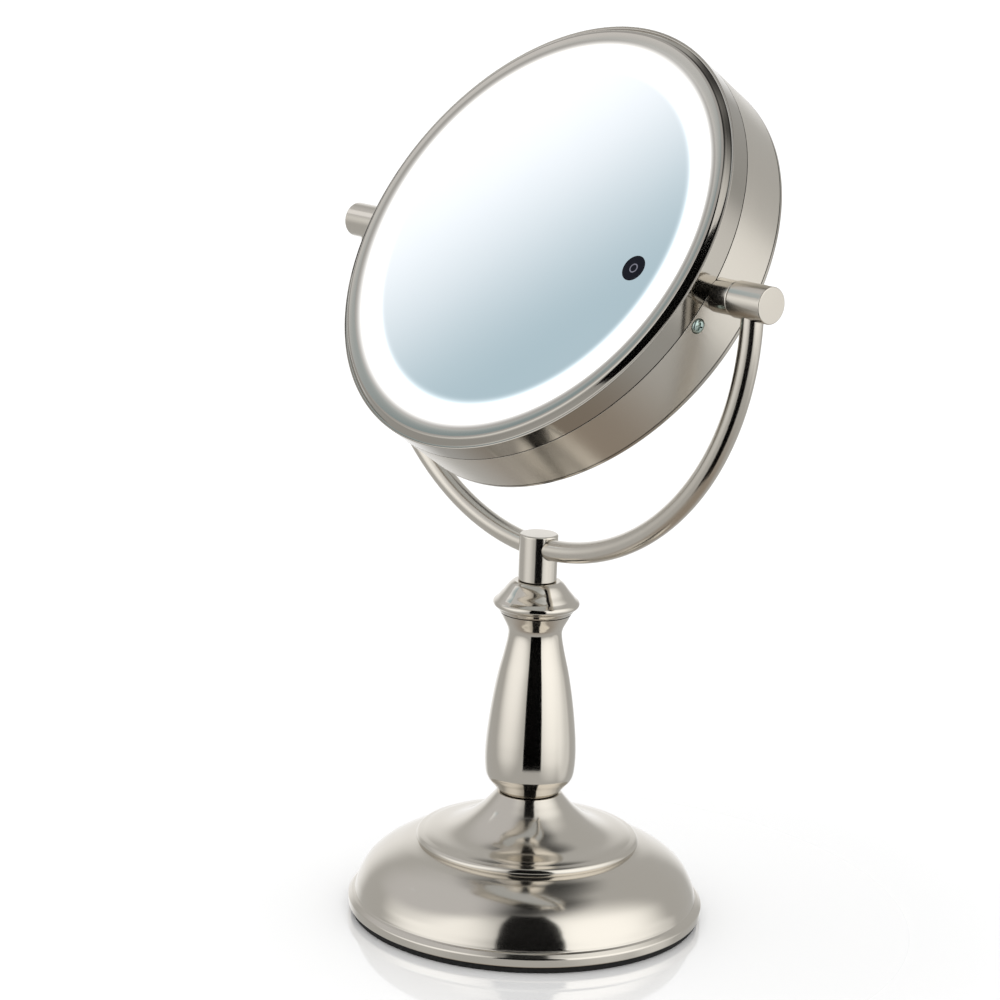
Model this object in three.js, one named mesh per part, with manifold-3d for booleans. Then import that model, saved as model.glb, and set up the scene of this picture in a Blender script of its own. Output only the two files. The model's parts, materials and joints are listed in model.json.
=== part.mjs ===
// Lighted vanity mirror: a double-pivot mirror head in a U yoke on a turned column and domed base.
// Millimetres. +Z is up, the tilt axis lies along X, and the lit face looks towards -Y.
// The origin is the centre of the base's underside.
import * as THREE from 'three';
import { mergeVertices } from 'three/addons/utils/BufferGeometryUtils.js';
import Module from 'manifold-3d';

const wasm = await Module();
wasm.setup();

// ---- driving dimensions ----
const GAP = 0.3; // clearance between neighbouring pieces

const BASE_R = 80; // radius of the base flange
const PAD_T = 2.7; // thickness of the rubber pad
const NECK_Z = 56.5; // top of the base's flared cone
const CAP_Z = 140.1; // seam between the baluster and its cap
const POST_R = 8.6;
const POST_Z0 = 154.8;
const POST_Z1 = 175.8;
const ROD_R = 3; // tie rod, M6
const SOCKET_H = 6.5; // how far the rod enters the post

const TILT_Z = 298; // height of the tilt axis
const TILT_DEG = 34; // how far the head leans back at rest
const YOKE_R = 122.4; // centre line of the U tube
const YOKE_Z = 292; // centre of the U's arc
const TUBE_R = 4.75;
const TUBE_BORE_R = 3.6;
const ARM_TOP = TILT_Z + 2.7 - YOKE_Z; // straight rise of each arm, up into its barrel

const DRUM_R = 104; // outside of the head
const WALL = 1.5;
const SEAM_Z = 2.85; // seam between the front cover and the drum
const FRONT_EDGE_Z = 13; // front edge of the cylindrical band
const REAR_EDGE_Z = -22;
const GLASS_T = 3;
const GLASS_Z1 = 13.6; // face of the front mirror, nearly flush with the bezel
const GLASS_Z0 = GLASS_Z1 - GLASS_T;
const MIRROR_R = 84.5;
const LIT_R = 92.5; // outer edge of the visible lit band
const DIFFUSER_R = 94.8; // edge of the lit ring under the bezel's lip
const LIP_Z = GLASS_Z1 + GAP;
const REAR_RIM_R = 95.2;
const REAR_RIM_Z = -21.5; // back face of the magnifying mirror at its rim
const REAR_SAG = 4.5; // depth of the magnifying mirror's curve

const KEY_X = 68.2; // touch key, in the plane of the glass
const KEY_Y = -6.6;
const KEY_R = 5.7;

const PIVOT_Y = -3.9; // where the tilt axis crosses the head: below its centre
const PIVOT_Z = -3.5; // and behind the seam, so that the drum alone carries the pivots
const PIVOT_HOLE_R = 3;
const KNOB_R = 7.8;
const COLLAR_R = 7.3;
const COLLAR_X = 114; // outer end of the collar
const KNOB_X = 132.8; // flat end of the barrel
const PIN_R = 2;
const PIN_X = YOKE_R - TUBE_R - 0.65; // end of the pivot screw, just short of the arm

const LOCK_DEG = -11; // the cover's lock screw, round the drum from +X
const LOCK_Z = -1.7;

const CELL_R = 7;
const CELL_L = 49.5;
const CELL_PITCH = 15.2;
const CELL_Z = -5.2;
const HOLDER_WALL = 1.2;
const LED_COUNT = 24;
const WIRE_R = 0.9;

const BIG = 40; // facets round the head
const MID = 32; // facets round the base and column
const SMALL = 14;

// ---- materials ----
const nickel = (name) => new THREE.MeshStandardMaterial({
  name, color: 0xb9b0a5, roughness: 0.32, metalness: 1,
});
const plain = (color, roughness = 0.6, metalness = 0) =>
  new THREE.MeshStandardMaterial({ color, roughness, metalness });
const looks = {
  nickel: () => nickel('satin nickel'),
  steel: () => plain(0x9fa3a6, 0.4, 1),
  iron: () => plain(0x4a4b4d, 0.8, 1),
  rubber: () => plain(0x141414, 0.85),
  mirror: () => plain(0xdfe6ea, 0.03, 1),
  glow: () => new THREE.MeshStandardMaterial({ color: 0xffffff, emissive: 0xffffff, roughness: 0.5 }),
  white: () => plain(0xf2f2ee, 0.5),
  black: () => plain(0x101014, 0.25),
  board: () => plain(0x1f5a3a, 0.6),
  nylon: () => plain(0xe4e0d4, 0.5),
  cell: () => plain(0x3b3f45, 0.4, 0.3),
  wire: () => plain(0xb02020, 0.5),
  zinc: () => plain(0xa9bdb8, 0.3, 1),
};

// ---- geometry helpers ----
// A closed geometry with its vertices merged, as a manifold solid facing outward.
function solid(geometry) {
  geometry.deleteAttribute('normal');
  geometry.deleteAttribute('uv');
  const welded = mergeVertices(geometry, 1e-4);
  const at = welded.getAttribute('position');
  const index = Array.from(welded.index.array);
  const tris = [];
  let volume = 0;
  const a = new THREE.Vector3();
  const b = new THREE.Vector3();
  const c = new THREE.Vector3();
  for (let i = 0; i < index.length; i += 3) {
    const [p, q, r] = index.slice(i, i + 3);
    if (p === q || q === r || r === p) continue;
    tris.push(p, q, r);
    a.fromBufferAttribute(at, p);
    b.fromBufferAttribute(at, q);
    c.fromBufferAttribute(at, r);
    volume += a.dot(b.cross(c));
  }
  if (volume < 0) {
    for (let i = 0; i < tris.length; i += 3) [tris[i + 1], tris[i + 2]] = [tris[i + 2], tris[i + 1]];
  }
  return new wasm.Manifold(new wasm.Mesh({
    numProp: 3,
    vertProperties: new Float32Array(at.array),
    triVerts: new Uint32Array(tris),
  }));
}

function toGeometry(manifold) {
  const mesh = manifold.getMesh();
  const geometry = new THREE.BufferGeometry();
  const places = new Float32Array(mesh.numVert * 3);
  for (let v = 0; v < mesh.numVert; v += 1) {
    for (let k = 0; k < 3; k += 1) places[v * 3 + k] = mesh.vertProperties[v * mesh.numProp + k];
  }
  geometry.setAttribute('position', new THREE.BufferAttribute(places, 3));
  geometry.setIndex(new THREE.BufferAttribute(new Uint32Array(mesh.triVerts), 1));
  geometry.computeVertexNormals();
  return geometry;
}

// A body of revolution about Z. The outline is [radius, height] pairs; it closes on itself
// unless it starts and ends on the axis.
function turned(outline, facets) {
  const points = outline.map(([r, z]) => new THREE.Vector2(r, z));
  const onAxis = outline[0][0] === 0 && outline.at(-1)[0] === 0;
  if (!onAxis) points.push(points[0].clone());
  return solid(new THREE.LatheGeometry(points, facets).rotateX(Math.PI / 2));
}

const rod = (r, z0, z1, facets = SMALL) => turned([[0, z0], [r, z0], [r, z1], [0, z1]], facets);
const ring = (r0, r1, z0, z1, facets = SMALL) =>
  turned([[r0, z0], [r1, z0], [r1, z1], [r0, z1]], facets);

function block(x0, x1, y0, y1, z0, z1) {
  const box = new THREE.BoxGeometry(x1 - x0, y1 - y0, z1 - z0);
  return solid(box.translate((x0 + x1) / 2, (y0 + y1) / 2, (z0 + z1) / 2));
}

// Round stretch of an outline: centre, radius and the angles it runs between, in degrees.
function arc(cr, cz, radius, from, to, steps) {
  const points = [];
  for (let i = 0; i <= steps; i += 1) {
    const t = THREE.MathUtils.degToRad(from + (to - from) * i / steps);
    points.push([cr + radius * Math.cos(t), cz + radius * Math.sin(t)]);
  }
  return points;
}

// Points of a smooth outline through a few chosen [radius, height] pairs.
function smooth(pairs, steps) {
  const curve = new THREE.SplineCurve(pairs.map(([r, z]) => new THREE.Vector2(r, z)));
  return curve.getPoints(steps).map((p) => [p.x, p.y]);
}

// Tube or wire along a curve; bore = 0 makes it solid.
function swept(path, radius, bore, steps, sides) {
  const section = new THREE.Shape();
  section.absarc(0, 0, radius, 0, 2 * Math.PI);
  if (bore > 0) {
    const hole = new THREE.Path();
    hole.absarc(0, 0, bore, 0, 2 * Math.PI);
    section.holes.push(hole);
  }
  return solid(new THREE.ExtrudeGeometry(section, {
    extrudePath: path, steps, curveSegments: sides / 2, bevelEnabled: false,
  }));
}

// Puts a solid that was made along Z onto a radial axis of the head, at an angle and a height.
const radial = (manifold, deg, z) => manifold.rotate([0, 90, 0]).rotate([0, 0, deg]).translate([0, 0, z]);

function place(group, name, manifold, material) {
  const mesh = new THREE.Mesh(toGeometry(manifold), material);
  mesh.name = name;
  group.add(mesh);
}

// ---- base ----
function addBase(group) {
  place(group, 'base_pad', rod(BASE_R - 1.6, 0, PAD_T, MID), looks.rubber());

  const flange = [[BASE_R - 1.2, PAD_T + GAP], [BASE_R, 4.2], [BASE_R, 7], [BASE_R - 1, 8.2], [77.6, 9]];
  const dome = smooth([[77, 9.8], [75.4, 15], [71.5, 21.5], [65, 27], [57, 31], [50.2, 33.2]], 8);
  const lip = [[49.6, 34.2], [49.4, 35.8], [47.6, 37]];
  const cone = smooth([[44, 38], [36, 39.7], [28, 43.6], [21.4, 48.8], [17.6, 52.8], [14.6, NECK_Z]], 8);
  const outside = [...flange, ...dome, ...lip, ...cone];
  const boltR = ROD_R + 0.6;
  const inside = [[boltR, NECK_Z], [boltR, 54.7], [13, 54.7], [16.2, 51.4], [20, 47.4], [26.9, 41.9],
    [35.4, 37.9], [43.4, 36.2], [47.6, 34.4], [48.4, 31.8], [56.4, 29.2], [63.9, 25.3], [70, 20.3],
    [73.7, 14.6], [75.4, 9], [77.4, 7.4], [77.4, PAD_T + GAP]];
  place(group, 'base_shell', turned([...outside, ...inside], MID), looks.nickel());

  // the casting is recessed underneath for the rod's washer and hexagon nut
  const low = PAD_T + GAP;
  const weight = turned([[9, low], [62, low], [62, 13], [3.5, 13], [3.5, 8.9], [9, 8.9]], MID);
  place(group, 'base_weight', weight, looks.iron());
  place(group, 'tie_rod_washer', ring(ROD_R + GAP, 7.5, 7.6, 8.6), looks.steel());
  const nut = rod(5.7, low + GAP, 7.3, 6).subtract(rod(ROD_R + GAP, low, 8));
  place(group, 'tie_rod_nut', nut, looks.steel());
  place(group, 'tie_rod', rod(ROD_R, low + 0.2, POST_Z0 + SOCKET_H - GAP, 12), looks.steel());
}

// ---- column ----
function addColumn(group) {
  const foot = [[13.2, NECK_Z + GAP], [14.4, 57.9], [16.6, 60.6]];
  const pear = smooth([[18.2, 62.4], [19.7, 65.6], [20.4, 73], [20, 83.5], [18.1, 99], [15.1, 115.5],
    [13.1, 124], [12, 130]], 11);
  const rim = smooth([[12.3, 132.5], [13.6, 135.5], [15.6, CAP_Z - GAP]], 3);
  const hollow = [[9.6, CAP_Z - GAP], [9.6, 129], [11, 122.6], [13.2, 113], [16.2, 98], [18, 84],
    [18.2, 73], [17.3, 66.8], [14.4, 62.6], [11.8, 60.6], [11.8, NECK_Z + GAP]];
  place(group, 'stem_baluster', turned([...foot, ...pear, ...rim, ...hollow], MID), looks.nickel());

  const cap = [[3.4, 134.5], [9.3, 134.5], [9.3, CAP_Z], [15.9, CAP_Z], [17.9, 141.8],
    ...arc(17.6, 144.4, 1.7, -50, 60, 4), ...smooth([[17.4, 147.1], [14.6, 149.7], [12.6, 152.4],
      [10.8, 153.8], [10.2, 154.5]], 4), [3.4, 154.5]];
  place(group, 'stem_cap', turned(cap, MID), looks.nickel());
}

// ---- yoke: post and U tube ----
class YokePath extends THREE.Curve {
  constructor(reach) {
    super();
    this.rise = reach; // straight rise of each arm above the arc's ends
  }

  getPoint(t, target = new THREE.Vector3()) {
    const turn = Math.PI * YOKE_R;
    const s = t * (turn + 2 * this.rise) - this.rise;
    if (s < 0) return target.set(-YOKE_R, 0, YOKE_Z - s);
    if (s > turn) return target.set(YOKE_R, 0, YOKE_Z + s - turn);
    const a = Math.PI + s / YOKE_R;
    return target.set(YOKE_R * Math.cos(a), 0, YOKE_Z + YOKE_R * Math.sin(a));
  }
}

function addYoke(group) {
  place(group, 'yoke_tube', swept(new YokePath(ARM_TOP), TUBE_R, TUBE_BORE_R, 32, 12), looks.nickel());

  const edge = 0.8;
  const post = turned([[0, POST_Z0], [POST_R, POST_Z0], [POST_R, POST_Z1 - edge],
    [POST_R - edge, POST_Z1], [0, POST_Z1]], 24);
  const saddle = swept(new YokePath(ARM_TOP), TUBE_R + GAP, 0, 32, 12);
  const socket = rod(ROD_R + GAP, POST_Z0 - 1, POST_Z0 + SOCKET_H, 12);
  place(group, 'yoke_post', post.subtract(saddle).subtract(socket), looks.nickel());
}

// ---- pivots: fixed barrels and pins, made along +Z and turned to each side ----
function addPivots(group, side, word) {
  const arm = new THREE.Group();
  arm.position.set(0, 0, TILT_Z);
  arm.rotation.y = side * Math.PI / 2;
  group.add(arm);

  const inner = COLLAR_X + GAP;
  const edge = 0.5;
  const barrel = turned([[0, inner], [KNOB_R - edge, inner], [KNOB_R, inner + edge],
    [KNOB_R, KNOB_X - edge], [KNOB_R - edge, KNOB_X], [0, KNOB_X]], 24);
  const bore = rod(PIN_R + GAP, inner - 1, PIN_X + GAP);
  // the arm of the U rises into the barrel from below; below is +X or -X here, by the side
  const socket = rod(TUBE_R + GAP, -3, KNOB_R + 2, 16).rotate([0, side * 90, 0]).translate([0, 0, YOKE_R]);
  place(arm, `pivot_barrel_${word}`, barrel.subtract(bore).subtract(socket), looks.nickel());

  const pin = turned([[0, 97.4], [4.2, 97.4], [4.2, 99.4], [PIN_R, 99.4], [PIN_R, PIN_X], [0, PIN_X]], SMALL);
  place(arm, `pivot_screw_${word}`, pin, looks.steel());
}

// ---- head, in its own frame: origin at its centre, +Z out of the lit face, +X along the tilt axis ----
const onTiltAxis = (manifold, deg) => radial(manifold, deg, PIVOT_Z).translate([0, PIVOT_Y, 0]);

function addHousing(head) {
  const inR = DRUM_R - WALL;
  const pivotHole = rod(PIVOT_HOLE_R, 95, 110);
  const lockHole = rod(1.8, 95, 110, 16).add(rod(3.2, 103.2, 110));
  const drum = ring(inR, DRUM_R, REAR_EDGE_Z, SEAM_Z - GAP / 2, BIG)
    .subtract(onTiltAxis(pivotHole, 0))
    .subtract(onTiltAxis(pivotHole, 180))
    .subtract(radial(lockHole, LOCK_DEG, LOCK_Z));
  place(head, 'drum_shell', drum, looks.nickel());

  // the skirt under the band slips into the drum; the crown ends in a lip over the lit ring
  const low = SEAM_Z + GAP / 2;
  const skirtR = inR - GAP;
  const skirtIn = skirtR - 1.3;
  const cover = turned([[skirtIn, -5], [skirtR, -5], [skirtR, low], [DRUM_R, low],
    [DRUM_R, FRONT_EDGE_Z - 0.4], [DRUM_R - 0.3, FRONT_EDGE_Z],
    ...arc(99.9, 11.9, 3.4, 22, 118, 5), [95.6, LIP_Z + 0.6], [LIT_R, LIP_Z + 0.3], [LIT_R, LIP_Z],
    [DIFFUSER_R + 0.4, LIP_Z], [97.4, LIP_Z - 0.2], [99.9, 13.6], [101.5, 12.2], [skirtIn, 9]], BIG);
  const notches = [[95, skirtR + 0.2], [-skirtR - 0.2, -95]].map(([x0, x1]) =>
    block(x0, x1, PIVOT_Y - 7, PIVOT_Y + 7, -6, 2));
  const thread = radial(rod(1.75, 95, 110, 16), LOCK_DEG, LOCK_Z);
  const frontCover = cover.subtract(notches[0]).subtract(notches[1]).subtract(thread);
  place(head, 'front_cover', frontCover, looks.nickel());

  const back = REAR_EDGE_Z - GAP;
  const bezel = turned([[DRUM_R, back], [skirtR, back], [skirtR, -17], [skirtIn, -17],
    [skirtIn, -22.8], [99, -24.6], [95.6, -22.2], [95.6, -21.8], [LIT_R, -21.8], [LIT_R, -22.4],
    [94.4, -23.4], [96.4, -24.2], ...arc(100.2, -23, 3.3, 210, 330, 5),
    [DRUM_R, REAR_EDGE_Z - 1.6]], BIG);
  place(head, 'rear_bezel', bezel, looks.nickel());
}

function addFrontOptics(head) {
  const keyHole = rod(KEY_R + GAP, 0, 20, 24).translate([KEY_X, KEY_Y, 0]);
  const glass = rod(MIRROR_R, GLASS_Z0, GLASS_Z1, BIG).subtract(keyHole);
  place(head, 'front_mirror', glass, looks.mirror());
  const diffuser = ring(MIRROR_R + GAP, DIFFUSER_R, GLASS_Z0, GLASS_Z1, BIG);
  place(head, 'light_diffuser', diffuser, looks.glow());
  const key = rod(KEY_R, GLASS_Z0, GLASS_Z1, 24).translate([KEY_X, KEY_Y, 0]);
  place(head, 'touch_key', key, looks.black());

  // a white tray backs the glass and holds the LED board in a channel under the lit ring
  const sheet = 1.2;
  const top = GLASS_Z0 - 0.4;
  const floor = top - 6.2;
  const inR = MIRROR_R - 0.4;
  const outR = DIFFUSER_R - 0.2;
  const tray = turned([[0, top - sheet], [inR, top - sheet], [inR, floor], [outR, floor], [outR, top],
    [outR - sheet, top], [outR - sheet, floor + sheet], [inR + sheet, floor + sheet],
    [inR + sheet, top], [0, top]], BIG);
  place(head, 'light_reflector', tray.subtract(keyHole), looks.white());

  const boardZ = floor + sheet + GAP;
  let board = ring(inR + sheet + 0.7, outR - sheet - 0.7, boardZ, boardZ + 1.1, BIG);
  const chipR = (inR + outR) / 2;
  const chip = block(chipR - 1.75, chipR + 1.75, -1.4, 1.4, boardZ + 0.6, boardZ + 2);
  for (let i = 0; i < LED_COUNT; i += 1) {
    board = board.add(chip.rotate([0, 0, (i + 0.5) * 360 / LED_COUNT]));
  }
  place(head, 'led_ring_board', board, looks.board());
}

function addElectronics(head) {
  const boardZ = GLASS_Z0 - 4;
  const electrode = rod(KEY_R - 0.6, boardZ + 1.6, GLASS_Z0 - 0.4, 24).translate([KEY_X, KEY_Y, 0]);
  place(head, 'touch_electrode', electrode, looks.zinc());
  const board = block(47, 75, -20, 14, boardZ, boardZ + 1.3)
    .add(block(50, 58, -15, -7, boardZ - 1.6, boardZ + 0.2))
    .add(block(51, 56, 2, 9, boardZ - 1.2, boardZ + 0.2));
  place(head, 'control_board', board, looks.board());

  const halfX = 2 * CELL_PITCH + HOLDER_WALL;
  const halfY = CELL_L / 2 + 3.4;
  const inX = halfX - HOLDER_WALL;
  const inY = halfY - HOLDER_WALL;
  const floor = CELL_Z - CELL_R - 1.3;
  let holder = block(-halfX, halfX, -halfY, halfY, floor, 2.6)
    .subtract(block(-inX, inX, -inY, inY, floor + 1, 4));
  for (const x of [-1, 0, 1]) {
    const rib = block(x * CELL_PITCH - 0.4, x * CELL_PITCH + 0.4, -20, 20, floor + 0.5, CELL_Z - 4);
    holder = holder.add(rib);
  }
  place(head, 'battery_holder', holder, looks.black());

  for (let i = 0; i < 4; i += 1) {
    const flip = i % 2 === 0 ? 1 : -1;
    const x = (i - 1.5) * CELL_PITCH;
    const half = CELL_L / 2;
    const cell = turned([[0, -half], [CELL_R, -half], [CELL_R, half - 1], [2.7, half - 1],
      [2.7, half], [0, half]], SMALL).rotate([flip * 90, 0, 0]).translate([x, 0, CELL_Z]);
    place(head, `battery_${i + 1}`, cell, looks.cell());
  }
  for (const [word, sign] of [['upper', 1], ['lower', -1]]) {
    const strip = block(-2 * CELL_PITCH, 2 * CELL_PITCH, -0.4, 0.4, CELL_Z - 5, CELL_Z + 5);
    const y = sign * (CELL_L / 2 + 1.2);
    place(head, `battery_contact_${word}`, strip.translate([0, y, 0]), looks.zinc());
  }

  wire(head, 'battery_lead', [[33, 10, -2], [36.5, 10, -0.6], [42, 9, 1.6], [48, 6.5, 3.2],
    [53.5, 5.5, boardZ - 1.2 - GAP - WIRE_R]]);
  wire(head, 'led_lead', [[61, 15.5, boardZ], [62, 22, 5.4], [62, 31, 4], [64, 42, 2.6], [68, 52, 2]]);
}

function wire(head, name, points) {
  const route = new THREE.CatmullRomCurve3(points.map((p) => new THREE.Vector3(...p)));
  place(head, name, swept(route, WIRE_R, 0, 8, 6), looks.wire());
}

// The magnifying mirror is a shallow dish, deepest in the middle.
function addRearOptics(head) {
  const dish = (r, z) => [r, z + REAR_SAG * (1 - (r / REAR_RIM_R) ** 2)];
  const radii = [0, 24, 48, 72, REAR_RIM_R];
  const outer = radii.map((r) => dish(r, REAR_RIM_Z));
  const inner = radii.map((r) => dish(r, REAR_RIM_Z + GLASS_T)).reverse();
  place(head, 'rear_mirror', turned([...outer, ...inner], BIG), looks.mirror());
  place(head, 'rear_backing', ring(64, 100.6, -14.6, -13.2, BIG), looks.black());
}

// Collars, bushes and spring washers turn with the head, on the fixed pins.
function addHeadPivots(head, side, word) {
  const deg = side > 0 ? 0 : 180;
  const drumSolid = rod(DRUM_R + GAP, -30, 30, BIG);
  const boreR = PIN_R + 0.4;
  const edge = 0.8;
  const collar = turned([[boreR, 100], [COLLAR_R, 100], [COLLAR_R, COLLAR_X - edge],
    [COLLAR_R - edge, COLLAR_X], [boreR, COLLAR_X]], 24);
  place(head, `pivot_collar_${word}`, onTiltAxis(collar, deg).subtract(drumSolid), looks.nickel());
  const bush = ring(PIN_R + GAP, PIVOT_HOLE_R - GAP, 101.6, DRUM_R - 0.2);
  place(head, `pivot_bush_${word}`, onTiltAxis(bush, deg), looks.nylon());
  const washer = ring(boreR, 4.4, 99.8, 101.2);
  place(head, `pivot_spring_washer_${word}`, onTiltAxis(washer, deg), looks.steel());
}

function addLockScrew(head) {
  const domed = turned([[0, 97.6], [1.4, 97.6], [1.4, 103.5], [2.9, 103.5], [2.8, 104.3], [1.8, 104.9],
    [0, 105.1]], SMALL);
  const slot = block(-1.7, 1.7, -0.35, 0.35, 104.2, 106);
  const screw = domed.subtract(slot).subtract(slot.rotate([0, 0, 90]));
  place(head, 'cover_lock_screw', radial(screw, LOCK_DEG, LOCK_Z), looks.zinc());
}

// ---- assembly ----
const model = new THREE.Group();
addBase(model);
addColumn(model);
addYoke(model);

const tilted = new THREE.Group();
tilted.position.set(0, 0, TILT_Z);
tilted.rotation.x = THREE.MathUtils.degToRad(90 - TILT_DEG);
model.add(tilted);

const head = new THREE.Group();
head.position.set(0, -PIVOT_Y, -PIVOT_Z);
tilted.add(head);
addHousing(head);
addFrontOptics(head);
addElectronics(head);
addRearOptics(head);
addLockScrew(head);

for (const [word, side] of [['right', 1], ['left', -1]]) {
  addPivots(model, side, word);
  addHeadPivots(head, side, word);
}

export default model;
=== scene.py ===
"""Lighted vanity mirror: the fine visible surfaces and their materials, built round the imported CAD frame.

Outlines are [radius, height] pairs in millimetres, as in the part's own frame; meshes are made in metres.
"""
import json
import math

import bmesh
import bpy
from mathutils import Matrix, Vector


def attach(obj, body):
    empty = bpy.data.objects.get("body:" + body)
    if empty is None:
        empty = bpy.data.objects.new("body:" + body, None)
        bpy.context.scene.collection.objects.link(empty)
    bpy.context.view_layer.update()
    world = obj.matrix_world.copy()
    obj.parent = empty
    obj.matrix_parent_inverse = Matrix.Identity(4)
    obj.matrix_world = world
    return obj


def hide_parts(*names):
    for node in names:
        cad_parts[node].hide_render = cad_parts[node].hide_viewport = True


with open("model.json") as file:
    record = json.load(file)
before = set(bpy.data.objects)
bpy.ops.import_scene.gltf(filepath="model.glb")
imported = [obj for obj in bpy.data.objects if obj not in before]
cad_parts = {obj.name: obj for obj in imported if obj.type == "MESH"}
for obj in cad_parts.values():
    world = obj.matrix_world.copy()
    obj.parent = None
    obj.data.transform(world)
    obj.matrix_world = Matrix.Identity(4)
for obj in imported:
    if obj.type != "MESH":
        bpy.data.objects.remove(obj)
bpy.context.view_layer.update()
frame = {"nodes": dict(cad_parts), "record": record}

MM = 0.001
TAU = 2 * math.pi

# ---- driving dimensions, in millimetres, the same as the part's ----
GAP = 0.3
BASE_R = 80.0
PAD_T = 2.7
NECK_Z = 56.5
CAP_Z = 140.1
POST_R = 8.6
POST_Z0 = 154.8
POST_Z1 = 175.8
TILT_Z = 298.0
TILT_DEG = 34.0
YOKE_R = 122.4
YOKE_Z = 292.0
TUBE_R = 4.75
ARM_TOP_Z = TILT_Z + 2.7
DRUM_R = 104.0
WALL = 1.5
SEAM_Z = 2.85
SEAM_BELOW = 0.25  # the seam's open width on either side of its middle
SEAM_ABOVE = 0.22
FRONT_EDGE_Z = 13.0
REAR_EDGE_Z = -22.0
GLASS_T = 3.0
GLASS_Z1 = 13.6
GLASS_Z0 = GLASS_Z1 - GLASS_T
MIRROR_R = 84.5
LIT_R = 92.5
DIFFUSER_R = 94.8
LIP_Z = GLASS_Z1 + GAP
REAR_RIM_R = 95.2
REAR_RIM_Z = -21.5
REAR_SAG = 4.5
KEY_X = 68.2
KEY_Y = -6.6
KEY_R = 5.7
PIVOT_Y = -3.9  # where the tilt axis crosses the head, in the head's own frame
PIVOT_Z = -3.5
PIVOT_HOLE_R = 3.0
KNOB_R = 7.8
COLLAR_R = 7.3
COLLAR_X = 114.0
KNOB_X = 132.8
PIN_R = 2.0
ROD_HOLE_R = 3.6  # clears the M6 tie rod
TUBE_BORE_R = 3.6
PIN_X = YOKE_R - TUBE_R - 0.65
LOCK_DEG = -11.0
LOCK_Z = -1.7

FINE = 192  # facets round the head and the base
ROUND = 96  # facets round the column and the knobs
TUBE_SIDES = 48

UPRIGHT = Matrix.Identity(4)
TILTED = Matrix.Translation((0, 0, TILT_Z * MM)) @ Matrix.Rotation(math.radians(90 - TILT_DEG), 4, "X")
HEAD_PLACE = TILTED @ Matrix.Translation((0, -PIVOT_Y * MM, -PIVOT_Z * MM))


# ---- outlines ----
def arc(cr, cz, radius, start, end, steps):
    """Round stretch of an outline, between two angles in degrees."""
    angles = [math.radians(start + (end - start) * i / steps) for i in range(steps + 1)]
    return [(cr + radius * math.cos(a), cz + radius * math.sin(a)) for a in angles]


def smooth(points, steps=8):
    """Catmull-Rom curve through the points, with steps pieces between each two."""
    ends = [_beyond(points[0], points[1]), *points, _beyond(points[-1], points[-2])]
    made = []
    for a, b, c, d in zip(ends, ends[1:], ends[2:], ends[3:]):
        for i in range(steps):
            t = i / steps
            made.append(tuple(_catmull(p, q, r, s, t) for p, q, r, s in zip(a, b, c, d)))
    return [*made, points[-1]]


def _beyond(end, inner):
    return tuple(2 * e - i for e, i in zip(end, inner))


def _catmull(a, b, c, d, t):
    return 0.5 * (2 * b + (c - a) * t + (2 * a - 5 * b + 4 * c - d) * t**2 + (3 * b - a - 3 * c + d) * t**3)


def rounded(points, closed=True, steps=5):
    """Outline whose corners are rounded: a point with a third value is a corner of that radius."""
    made = []
    count = len(points)
    for i, point in enumerate(points):
        at = Vector(point[:2])
        radius = point[2] if len(point) > 2 else 0
        if radius == 0 or (not closed and i in (0, count - 1)):
            made.append(tuple(at))
            continue
        before = Vector(points[i - 1][:2]) - at
        after = Vector(points[(i + 1) % count][:2]) - at
        half = before.angle(after) / 2
        reach = min(radius / math.tan(half), 0.48 * before.length, 0.48 * after.length)
        radius = reach * math.tan(half)
        centre = at + (before.normalized() + after.normalized()).normalized() * (radius / math.sin(half))
        start = at + before.normalized() * reach - centre
        end = at + after.normalized() * reach - centre
        turn = start.angle_signed(end)
        for k in range(steps + 1):
            spoke = start.copy()
            spoke.rotate(Matrix.Rotation(-turn * k / steps, 2))
            made.append(tuple(centre + spoke))
    return made


# ---- meshes ----
def finished(name, bm, place, body, material, nodes=(), sharp=32):
    """Turns a bmesh in millimetres into a shaded piece that rides on a body and replaces CAD nodes."""
    bmesh.ops.scale(bm, vec=(MM, MM, MM), verts=bm.verts)
    bmesh.ops.recalc_face_normals(bm, faces=bm.faces)
    mesh = bpy.data.meshes.new(name)
    bm.to_mesh(mesh)
    bm.free()
    if _signed_volume(mesh) < 0:
        mesh.flip_normals()
    mesh.shade_smooth()
    mesh.set_sharp_from_angle(angle=math.radians(sharp))
    piece = bpy.data.objects.new(name, mesh)
    bpy.context.scene.collection.objects.link(piece)
    flat = piece.modifiers.new("flat faces stay flat", "WEIGHTED_NORMAL")
    flat.keep_sharp = True
    flat.weight = 80
    piece.matrix_world = place
    bpy.context.view_layer.update()
    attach(piece, body)
    if nodes:
        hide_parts(*nodes)
    mesh.materials.append(material)
    return piece


def _signed_volume(mesh):
    mesh.calc_loop_triangles()
    at = [v.co for v in mesh.vertices]
    return sum(at[t.vertices[0]].dot(at[t.vertices[1]].cross(at[t.vertices[2]])) for t in mesh.loop_triangles)


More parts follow.
